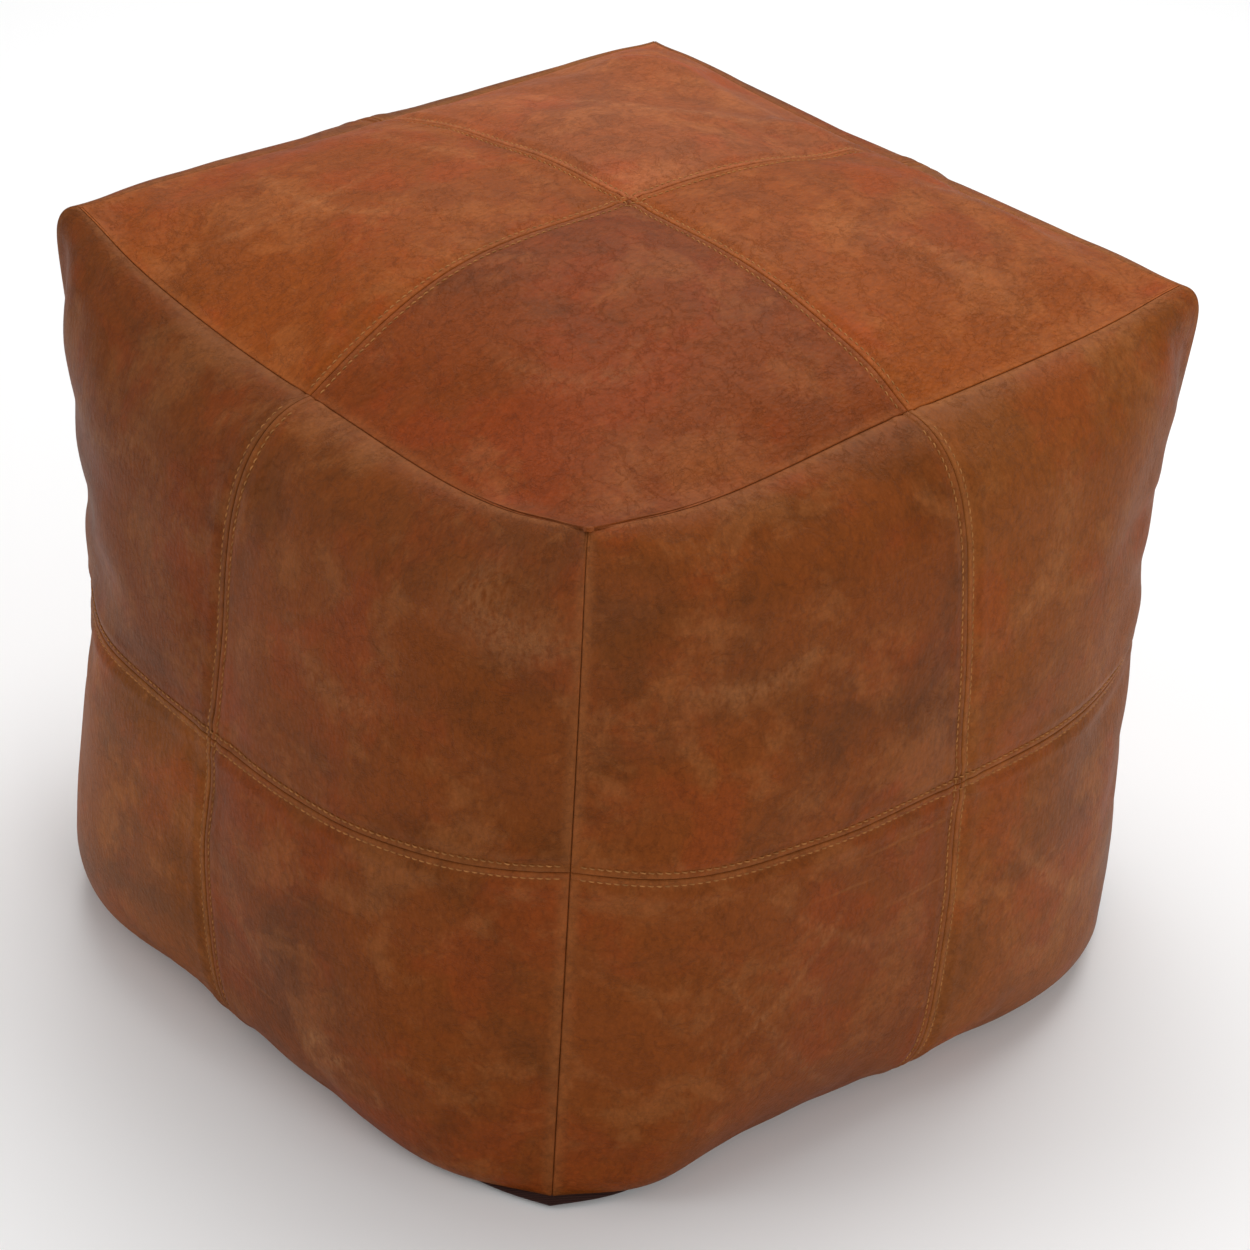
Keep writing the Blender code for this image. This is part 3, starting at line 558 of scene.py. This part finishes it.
def hide_wear(tree, place, given):
    """Masks of wear on a hide: long scratches, leather worn beside seams and rounded at edges, and
    rubbed strokes broken up by the nap."""
    along = shifted(tree, place, turn=(0, 0, 0.9), stretch=(5, 150, 1))
    across = shifted(tree, place, (0.2, 0.7, 0), (0, 0, -0.75), (4, 120, 1))
    lines = math_node(tree, "MAXIMUM", between(tree, noise(tree, along, 1.0, 2.0), 0.66, 0.72),
                      between(tree, noise(tree, across, 1.0, 2.0), 0.67, 0.73))
    where = between(tree, noise(tree, shifted(tree, place, (8, 2, 0)), 9.0), 0.48, 0.62)
    scratch = times(tree, times(tree, lines, where), given["Scratching"])
    strip = between(tree, given["Mid seam"], 0.0075, 0.0030)
    roll = between(tree, given["Edge seam"], 0.0080, 0.0012)
    worn = math_node(tree, "MAXIMUM", times(tree, strip, 0.55), times(tree, roll, 0.6))
    worn = times(tree, worn, between(tree, noise(tree, place, 90.0), 0.25, 0.65, 0.55, 1.0))
    nap = noise(tree, shifted(tree, place, stretch=(1, 0.5, 1)), 260.0, 4.0, 0.7)
    strokes = times(tree, between(tree, nap, 0.34, 0.60), times(tree, given["Rubbed"], 0.85))
    return scratch, worn, strokes


def hide_grain(tree, place):
    """The fine surface: pebbles from warped cells, fine specks, and creases, which are the thin lines
    where a slow noise crosses its middle value. The hide's colour is darkened on those lines as
    painted shade in their grooves."""
    slanted = shifted(tree, place, turn=(0, 0, 0.5), stretch=(1, 0.62, 1))
    stir = placed(tree, "ShaderNodeTexNoise", {"Vector": place, "Scale": 130.0}).outputs["Color"]
    warp = {0: stir, 1: (0.004,) * 3, 2: slanted}
    wavy = placed(tree, "ShaderNodeVectorMath", warp, operation="MULTIPLY_ADD").outputs[0]
    pebbles = {"Vector": wavy, "Scale": 430.0, "Randomness": 1.0}
    cells = placed(tree, "ShaderNodeTexVoronoi", pebbles, feature="F1").outputs["Distance"]
    speck = noise(tree, place, 900.0, 3.0, 0.7)
    from_middle = math_node(tree, "SUBTRACT", noise(tree, place, 55.0, 6.0, 0.68, 0.4), 0.5)
    creases_and_shade = between(tree, math_node(tree, "ABSOLUTE", from_middle), 0.0, 0.030)
    return cells, speck, creases_and_shade


def waxed_hide():
    """Waxed hide: wide dark clouds, orange where the wax has run, pale where it has been bent or
    rubbed, and over all a fine nap, pebbled grain and a few long scratches. Its crease lines are
    painted darker, as shade in their grooves."""
    inputs = {"Place": "Vector", "Mid seam": "Float", "Edge seam": "Float", "Rubbed": "Float",
              "Tone": "Color", "Dark": "Color", "Orange": "Color", "Pale": "Color", "Bare": "Color",
              "Clouding": "Float", "Scratching": "Float"}
    outputs = {"Colour": "Color", "Roughness": "Float", "Height": "Float"}
    tree, given, output = node_group("waxed_hide", inputs, outputs)
    place = given["Place"]
    scratch, worn, strokes = hide_wear(tree, place, given)
    cells, speck, creases_and_shade = hide_grain(tree, place)

    # Clouds of dark, orange and pale, each from a noise of its own.
    wide = noise(tree, place, 10.0, 8.0, 0.64, 0.5)
    dark = times(tree, between(tree, wide, 0.44, 0.66), given["Clouding"])
    orange = between(tree, noise(tree, shifted(tree, place, (3, 1, 2)), 13.0, 6.0, 0.6, 0.4), 0.49, 0.60)
    faded = between(tree, noise(tree, shifted(tree, place, (1, 5, 4)), 17.0, 8.0, 0.70, 0.3), 0.49, 0.62)
    pale = math_node(tree, "MAXIMUM", times(tree, faded, 0.55), math_node(tree, "MAXIMUM", worn, scratch))
    colour = mixed(tree, times(tree, orange, 0.75), given["Tone"], given["Orange"])
    colour = mixed(tree, dark, colour, given["Dark"])
    colour = mixed(tree, pale, colour, given["Pale"])
    colour = mixed(tree, strokes, colour, given["Bare"])

    # Nap, fibres, specks and pebbles make it lighter and darker from point to point, and the crease
    # lines are painted darker as shade in their grooves.
    nap = noise(tree, shifted(tree, place, stretch=(1, 0.6, 1)), 420.0, 3.0, 0.65)
    fibres = noise(tree, shifted(tree, place, turn=(0, 0, 0.7), stretch=(1, 0.45, 1)), 130.0, 5.0, 0.7)
    flecks_and_crease_shade = plus(tree, plus(tree, nap, fibres), speck)
    flecks_and_crease_shade = plus(tree, flecks_and_crease_shade, times(tree, math_node(tree, "SUBTRACT", 0.45, cells), 0.30))
    # Painted shade: the colour is darkened along the crease lines, which the bump sinks into grooves.
    flecks_and_crease_shade = plus(tree, flecks_and_crease_shade, times(tree, math_node(tree, "SUBTRACT", creases_and_shade, 0.8), 0.13))
    ramp = {"Value": flecks_and_crease_shade, "From Min": 1.0, "From Max": 2.0, "To Min": 0.72, "To Max": 1.28}
    level = placed(tree, "ShaderNodeMapRange", ramp).outputs[0]
    scaled = {0: colour, "Scale": level}
    colour = placed(tree, "ShaderNodeVectorMath", scaled, operation="SCALE").outputs[0]

    height = plus(tree, times(tree, cells, 0.55), times(tree, speck, 0.45))
    height = plus(tree, height, times(tree, creases_and_shade, 0.30))
    height = plus(tree, height, times(tree, scratch, -0.4))
    rough = plus(tree, between(tree, wide, 0.3, 0.7, 0.60, 0.52), times(tree, pale, 0.06))
    rough = plus(tree, rough, times(tree, math_node(tree, "SUBTRACT", speck, 0.5), 0.25))
    finish(tree, output, Colour=colour, Roughness=rough, Height=height)
    return tree


HIDE = waxed_hide()


def own(tree, name):
    """A value that the piece's own mesh carries."""
    return placed(tree, "ShaderNodeAttribute", attribute_name=name)


def principled(name, **values):
    """A material and its tree, with a Principled shader whose sockets take plain values."""
    material = bpy.data.materials.new(name)
    material.use_nodes = True
    tree = material.node_tree
    shader = tree.nodes["Principled BSDF"]
    for key, value in values.items():
        shader.inputs[key.replace("_", " ")].default_value = value
    return material, tree, shader


def bumped(tree, shader, height, distance):
    bump = placed(tree, "ShaderNodeBump", {"Height": height, "Strength": 1.0, "Distance": distance})
    tree.links.new(bump.outputs["Normal"], shader.inputs["Normal"])


GRAIN_DEPTH = 0.0005


def leather(name, tone, clouding=0.7, scratching=0.15):
    """The hide's group with one patch's own colours: its tone, and shades worked out from it."""
    material, tree, shader = principled(name, Specular_IOR_Level=0.2, Specular_Tint=(1.0, 0.60, 0.34, 1))
    tone = np.array(tone)
    shades = {"Tone": tone, "Dark": tone * (0.64, 0.71, 0.72), "Orange": tone * (1.16, 0.92, 0.90),
              "Pale": tone * 1.15 + np.array((0.040, 0.031, 0.014)),
              "Bare": tone * 1.20 + np.array((0.085, 0.068, 0.034))}
    group = placed(tree, "ShaderNodeGroup", node_tree=HIDE)
    for key, colour in shades.items():
        group.inputs[key].default_value = (*colour, 1)
    group.inputs["Clouding"].default_value = clouding
    group.inputs["Scratching"].default_value = scratching
    for attribute, kind, socket in (("hide_place", "Vector", "Place"), ("mid_seam", "Fac", "Mid seam"),
                                    ("edge_seam", "Fac", "Edge seam"), ("rubbed", "Fac", "Rubbed")):
        tree.links.new(own(tree, attribute).outputs[kind], group.inputs[socket])
    tree.links.new(group.outputs["Colour"], shader.inputs["Base Color"])
    tree.links.new(group.outputs["Roughness"], shader.inputs["Roughness"])
    bumped(tree, shader, group.outputs["Height"], GRAIN_DEPTH)
    return material


# The tone of each hide, and the hide's shade, clouding and scratching on each patch cut from it.
HIDE_TONES = {
    "leather_amber": (0.235, 0.049, 0.0045),
    "leather_russet": (0.185, 0.035, 0.0040),
    "leather_pale": (0.280, 0.067, 0.0160),
    "leather_chestnut": (0.170, 0.039, 0.0055),
    "leather_walnut": (0.200, 0.050, 0.0050),
    "leather_tan": (0.210, 0.055, 0.0090),
}
PATCHES = {
    "top_front_left": (1.00, 0.65, 0.15),
    "top_front_right": (1.00, 0.80, 0.15),
    "top_back_right": (1.05, 0.60, 0.15),
    "top_back_left": (1.00, 0.55, 0.15),
    "front_upper_left": (0.85, 0.70, 0.15),
    "front_upper_right": (1.00, 0.70, 0.15),
    "front_lower_left": (1.00, 0.80, 0.15),
    "front_lower_right": (1.00, 0.80, 0.45),
    "right_upper_left": (1.05, 0.90, 0.20),
    "right_upper_right": (1.00, 0.35, 0.15),
    "right_lower_left": (1.05, 0.15, 0.60),
    "right_lower_right": (1.00, 0.60, 0.25),
    "back_upper_left": (1.05, 0.60, 0.15),
    "back_upper_right": (1.05, 0.80, 0.15),
    "back_lower_left": (1.00, 0.70, 0.25),
    "back_lower_right": (1.00, 0.60, 0.15),
    "left_upper_left": (0.95, 0.70, 0.15),
    "left_upper_right": (1.00, 0.70, 0.20),
    "left_lower_left": (1.05, 0.60, 0.15),
    "left_lower_right": (1.10, 0.80, 0.15),
}
SLOT_OF = {part["node"]: part["material_slot"] for part in frame["record"]["subparts"]}

for number, (node, (shade, clouding, scratching)) in enumerate(PATCHES.items()):
    face, row, column = node.split("_")
    u_sign = -1 if column == "left" else 1
    v_sign = -1 if row in ("front", "lower") else 1
    patch = sewn_patch(f"leather_{node}", face, u_sign, v_sign, number)
    tone = np.array(HIDE_TONES[SLOT_OF[node]]) * shade
    patch.data.materials.append(leather(f"hide_{node}", tone, clouding, scratching))
    wall = patch.modifiers.new("thickness", "SOLIDIFY")
    wall.thickness, wall.offset = WALL, -1
    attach(patch, "pouf")
    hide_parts(node)


# ---- Topstitching --------------------------------------------------------------------------------
# Two rows of waxed thread beside each mid seam, sewn through leather and allowance. Each stitch
# is a short arched length of thread that dives into its hole at both ends.

THREAD = 0.00045  # radius
STITCH_LENGTH = 0.0036
STITCH_SLANT = 0.0003  # each stitch lies a little across its row
SEWN_TO = 0.985  # a row stops this share of the way from mid seam to edge seam
ARCH, SUNK = 2.2, 1.5  # a stitch's arch, and how deep its ends lie, in thread radii
RINGS = np.linspace(-1, 1, 6)  # along a stitch
ROUND = np.arange(6) * np.pi / 3  # round the thread


def stitch_row(face, along_v, side):
    """All stitches of one row: rings of points round a half-ellipse arch between each one's ends."""
    level = side * STITCH_OFFSET / HALF
    fine = np.linspace(-SEWN_TO, SEWN_TO, 900)
    at = (np.full_like(fine, level), fine) if along_v else (fine, np.full_like(fine, level))
    line = form(face, *at)
    gone = np.concatenate(([0], np.cumsum(np.linalg.norm(np.diff(line, axis=0), axis=1))))
    count = int(gone[-1] / STITCH_PITCH)
    middles = (np.arange(count) + 0.5) * gone[-1] / count
    stops = middles[:, None] + RINGS * STITCH_LENGTH / 2
    share = np.interp(stops, gone, fine)
    slant = level + RINGS[None, :] * STITCH_SLANT / HALF * (1 if along_v else -1)
    slant = np.broadcast_to(slant, share.shape)
    u, v = (slant, share) if along_v else (share, slant)
    place, out = stuffed(face, u, v)
    arch = THREAD * (ARCH * (1 - RINGS**2) ** 0.5 - SUNK)
    place = place + out * (mid_relief(face, u, v) + arch)[..., None]
    ahead = np.gradient(place, axis=1)
    ahead /= np.linalg.norm(ahead, axis=-1, keepdims=True)
    aside = np.cross(out, ahead)
    around = np.cos(ROUND)[:, None] * aside[:, :, None] + np.sin(ROUND)[:, None] * out[:, :, None]
    points = place[:, :, None] + around * THREAD
    ring, turn = len(RINGS), len(ROUND)
    first = np.arange(count)[:, None, None] * ring * turn
    i, k = np.arange(ring - 1)[:, None], np.arange(turn)
    quads = np.stack(np.broadcast_arrays(
        first + i * turn + k, first + i * turn + (k + 1) % turn,
        first + (i + 1) * turn + (k + 1) % turn, first + (i + 1) * turn + k), axis=-1).reshape(-1, 4)
    start_cap = first.reshape(-1, 1) + k[::-1]
    end_cap = first.reshape(-1, 1) + (ring - 1) * turn + k
    caps = np.stack((start_cap, end_cap), axis=1).reshape(-1, turn)
    mesh = bpy.data.meshes.new("row")
    mesh.from_pydata(points.reshape(-1, 3).tolist(), [], quads.tolist() + caps.tolist())
    mesh.shade_smooth()
    return mesh


def thread_material(name, colour):
    """Waxed thread: satin, with a slow change of tone from stitch to stitch and a fine fuzz in bump."""
    material, tree, shader = principled(name, Specular_IOR_Level=0.1, Roughness=0.6)
    place = placed(tree, "ShaderNodeTexCoord").outputs["Object"]
    tone = between(tree, noise(tree, place, 160.0, 2.0), 0.3, 0.7)
    colour = np.array(colour)
    shade = mixed(tree, tone, (*colour * 0.72, 1), (*colour * 1.2, 1))
    tree.links.new(shade, shader.inputs["Base Color"])
    bumped(tree, shader, noise(tree, place, 2600.0, 1.0), 0.0001)
    return material


THREADS = thread_material("waxed_thread", (0.36, 0.150, 0.045))
for face in ("top", *SIDES):
    for along_v, words in ((True, ("left", "right")), (False, ("lower", "upper"))):
        for word, side in zip(words, (-1, 1)):
            mesh = stitch_row(face, along_v, side)
            mesh.materials.append(THREADS)
            row = bpy.data.objects.new(f"stitches_{face}_{word}", mesh)
            bpy.context.scene.collection.objects.link(row)
            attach(row, "pouf")
            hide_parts(f"topstitch_{face}_{word}")


# ---- Base cloth ----------------------------------------------------------------------------------
# Two panels of dark twill under the pouf, sewn to the leather all round and to the zip's tapes.
# Their outer edges are turned in beside the leather's allowances.

def twill(name, colour, pitch=0.0016):
    """Twill cloth: two sets of threads at a slant, painted lighter where they stand up and darker
    between them as light and shade, and a little dust.
    """
    material, tree, shader = principled(name, Roughness=0.9, Specular_IOR_Level=0.25)
    place = placed(tree, "ShaderNodeTexCoord").outputs["Object"]
    turned = shifted(tree, place, turn=(0, 0, 0.6))
    parts = placed(tree, "ShaderNodeSeparateXYZ", {0: turned}).outputs
    warp = math_node(tree, "SINE", times(tree, parts["X"], 2 * math.pi / pitch))
    weft = math_node(tree, "SINE", times(tree, parts["Y"], 4 * math.pi / pitch))
    weave_relief_and_shade = times(tree, plus(tree, warp, times(tree, weft, 0.5)), 0.33)
    dust = between(tree, noise(tree, place, 14.0, 5.0), 0.45, 0.8)
    colour = np.array(colour)
    # Painted light and shade: threads that stand up are painted lighter, the hollows between them darker.
    shade = mixed(tree, between(tree, weave_relief_and_shade, -0.5, 0.5), (*colour * 0.7, 1), (*colour * 1.25, 1))
    shade = mixed(tree, times(tree, dust, 0.25), shade, (*(colour * 1.6 + 0.012), 1))
    tree.links.new(shade, shader.inputs["Base Color"])
    bumped(tree, shader, weave_relief_and_shade, 0.0003)
    return material


def base_panel(name, v_sign):
    """Half of the base, from the zip's slot to the base seam, with its outer edges turned in."""
    count = 90  # grid lines from the slot to the base seam, and half of those along it
    across = spread(2 * count)
    u_line = np.sin((across * 2 - 1) * math.pi / 2) * (1 - SEAM_GAP / HALF)
    start = ZIP_HALF / HALF
    v_line = start + (1 - SEAM_GAP / HALF - start) * np.sin(np.linspace(0, 1, count) * math.pi / 2)
    u_line = np.concatenate((u_line[[0]], u_line, u_line[[-1]]))
    v_line = np.concatenate((v_line, v_line[[-1]]))
    u_depth, v_depth = np.zeros_like(u_line), np.zeros_like(v_line)
    u_depth[[0, -1]] = v_depth[-1] = ALLOWANCE
    if v_sign < 0:
        v_line, v_depth = -v_line[::-1], v_depth[::-1]
    u, v = np.meshgrid(u_line, v_line)
    place, out = stuffed("base", u, v)
    way = inward(place, out, np.clip((np.maximum(np.abs(u), np.abs(v)) - 0.9) / 0.1, 0, 1))
    place = place + way * np.maximum(u_depth[None, :], v_depth[:, None])[..., None]
    return piece_from(name, place, grid_quads(*u.shape))


CLOTH_WALL = 0.0012
BASE_CLOTH = twill("base_twill", (0.034, 0.012, 0.009))
for side, v_sign in (("front", 1), ("back", -1)):
    panel = base_panel(f"base_cloth_{side}", v_sign)
    panel.data.materials.append(BASE_CLOTH)
    wall = panel.modifiers.new("thickness", "SOLIDIFY")
    wall.thickness, wall.offset = CLOTH_WALL, -1
    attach(panel, "pouf")
    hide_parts(f"base_{side}")


# ---- Liner and filling -----------------------------------------------------------------------------
# A calico bag of loose fibre, which fills the cover. The bag has a slit underneath, behind the zip,
# through which the fibre is stuffed.

LINER_LINES = 49  # grid lines across each face


def drawn_in(depth, lumps=0.0):
    """The form scaled towards its middle by a depth, with lumps from waves of sine and cosine."""
    lines = np.linspace(-1, 1, LINER_LINES)
    u, v = np.meshgrid(lines, lines)
    scale = 1 - depth / min(HALF, CORNER_Z / 2)
    middle = np.array((0, 0, CORNER_Z / 2))
    points = []
    for face in FACES:
        place = middle + (form(face, u, v) - middle) * scale
        wave = 0.5 + 0.5 * np.sin(9 * u + 3 * v) * np.cos(8 * v - 2 * u)
        uneven = 1 - lumps * wave * (1 - u**4) * (1 - v**4)
        points.append(middle + (place - middle) * uneven[..., None])
    quads = np.concatenate([grid_quads(*u.shape) + k * u.size for k in range(len(FACES))])
    return np.concatenate([p.reshape(-1, 3) for p in points]), quads


SLIT_HALF = (0.060, 0.010)  # half length and half width of the slit
points, quads = drawn_in(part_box("liner_bag")[0].z)
middles = points[quads].mean(axis=1)
in_slit = (np.abs(middles[:, :2]) < SLIT_HALF).all(axis=1) & (middles[:, 2] < CORNER_Z / 4)
liner = piece_from("calico_liner", points, quads[~in_slit])
wall = liner.modifiers.new("thickness", "SOLIDIFY")
wall.thickness, wall.offset = CLOTH_WALL, -1
liner.data.materials.append(twill("calico", (0.62, 0.56, 0.45), 0.0011))
LUMPINESS = 0.01  # share by which the filling is drawn in between its lumps
points, quads = drawn_in(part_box("filling")[0].z, LUMPINESS)
filling = piece_from("fibre_filling", points, quads)


def fibre(name, colour):
    """Loose fibre: matted strands in bump, with the colour painted lighter on raised strands and
    darker in the hollows between them, as shade.
    """
    material, tree, shader = principled(name, Roughness=0.95, Specular_IOR_Level=0.2)
    place = placed(tree, "ShaderNodeTexCoord").outputs["Object"]
    matting_and_shade = noise(tree, place, 60.0, 8.0, 0.75, 2.0)
    colour = np.array(colour)
    # Painted shade: the colour follows the matting's bump, darker in its hollows and lighter on its
    # strands.
    tree.links.new(mixed(tree, matting_and_shade, (*colour * 0.8, 1), (*colour * 1.1, 1)), shader.inputs["Base Color"])
    bumped(tree, shader, matting_and_shade, 0.004)
    return material


filling.data.materials.append(fibre("loose_fibre", (0.75, 0.73, 0.68)))
for piece, node, slot in ((liner, "liner_bag", "calico"), (filling, "filling", "fibre_filling")):
    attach(piece, "pouf")
    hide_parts(node)


# ---- Zip -------------------------------------------------------------------------------------------
# The frame's own zip: woven tapes, brass teeth, stops, slider and pull, and a leather tab at each
# end of the slot. They keep their shapes and take their finishes here.

def brass(name, colour):
    """Aged brass: brown in patches where it has tarnished, brighter where it rubs."""
    material, tree, shader = principled(name, Metallic=1.0)
    place = placed(tree, "ShaderNodeTexCoord").outputs["Object"]
    tarnish = between(tree, noise(tree, place, 220.0, 4.0), 0.42, 0.68)
    colour = np.array(colour)
    shade = mixed(tree, tarnish, (*colour, 1), (*colour * (0.45, 0.36, 0.30), 1))
    tree.links.new(shade, shader.inputs["Base Color"])
    tree.links.new(between(tree, tarnish, 0, 1, 0.28, 0.55), shader.inputs["Roughness"])
    bumped(tree, shader, noise(tree, place, 900.0, 2.0), 0.0001)
    return material


def tab_leather(name, tone):
    """The hide's group on a piece of the frame: its place is the object's own, far from any seam."""
    material = leather(name, tone)
    tree = material.node_tree
    group = next(node for node in tree.nodes if node.type == "GROUP")
    place = placed(tree, "ShaderNodeTexCoord").outputs["Object"]
    tree.links.new(place, group.inputs["Place"])
    for socket, value in (("Mid seam", 1.0), ("Edge seam", 1.0), ("Rubbed", 0.0)):
        for link in list(group.inputs[socket].links):
            tree.links.remove(link)
        group.inputs[socket].default_value = value
    return material


finishes = {
    "zip_tape": twill("zip_tape_weave", (0.040, 0.020, 0.016), 0.0012),
    "zip_brass": brass("aged_brass", (0.60, 0.40, 0.16)),
    "leather_walnut": tab_leather("tab_hide", HIDE_TONES["leather_walnut"]),
}
for node, made in frame["nodes"].items():
    if SLOT_OF[node] in finishes and (node.startswith("zip") or node.startswith("base_tab")):
        made.data.materials.clear()
        made.data.materials.append(finishes[SLOT_OF[node]])


# ---- Studio ----------------------------------------------------------------------------------------
# A sheet of pale paper to stand on and three square softboxes: a wide one overhead, and a smaller
# one on each side. The camera looks down on the front right corner.

FLOOR_HALF = 6
corners = [(x * FLOOR_HALF, y * FLOOR_HALF, 0) for x, y in ((-1, -1), (1, -1), (1, 1), (-1, 1))]
floor_mesh = bpy.data.meshes.new("floor")
floor_mesh.from_pydata(corners, [], [(0, 1, 2, 3)])
floor = bpy.data.objects.new("floor", floor_mesh)
bpy.context.scene.collection.objects.link(floor)
PAPER = (0.93, 0.93, 0.93, 1)
paper, _, _ = principled("white_paper", Base_Color=PAPER, Roughness=0.9, Specular_IOR_Level=0.1)
floor_mesh.materials.append(paper)

AMBIENT = 0.38
world = bpy.data.worlds.new("studio")
bpy.context.scene.world = world
world.use_nodes = True
world.node_tree.nodes["Background"].inputs["Color"].default_value = (1, 1, 1, 1)
world.node_tree.nodes["Background"].inputs["Strength"].default_value = AMBIENT
bpy.context.scene.view_settings.view_transform = "Standard"


def soft_box(name, place, target, size, power):
    """A square softbox that faces a point."""
    light = bpy.data.lights.new(name, "AREA")
    light.shape, light.size, light.energy = "SQUARE", size, power
    box = bpy.data.objects.new(name, light)
    box.location = place
    box.rotation_euler = (Vector(target) - Vector(place)).to_track_quat("-Z", "Y").to_euler()
    bpy.context.scene.collection.objects.link(box)


MIDDLE = (0, 0, CORNER_Z / 2)
soft_box("overhead", (-0.6, 0.9, 2.6), MIDDLE, 2.4, 62)
soft_box("right", (2.6, -0.6, 1.3), MIDDLE, 1.6, 26)
soft_box("left", (-1.6, -2.4, 1.3), MIDDLE, 1.6, 20)

# The camera's back, right and up directions, tilted by the roll, make its rows of axes.
azimuth, elevation, roll = math.radians(46.44), math.radians(31.11), math.radians(3.586)
level = math.cos(elevation)
back = np.array((math.sin(azimuth) * level, -math.cos(azimuth) * level, math.sin(elevation)))
right = np.array((math.cos(azimuth), math.sin(azimuth), 0))
up = np.cross(back, right)
axes = np.array((math.cos(roll) * right + math.sin(roll) * up,
                 math.cos(roll) * up - math.sin(roll) * right, back))
AIM = (0, 0, 0.22)  # the camera stands off from here
OFFSET = (0.010, -0.0368, 1.9488)  # to its right, up and back
camera = bpy.data.objects.new("camera", bpy.data.cameras.new("camera"))
camera.data.lens = 94.88
eye = np.array(AIM) + axes.T @ OFFSET
camera.matrix_world = Matrix.Translation(eye.tolist()) @ Matrix(axes.T.tolist()).to_4x4()
bpy.context.scene.collection.objects.link(camera)
bpy.context.scene.camera = camera

import json
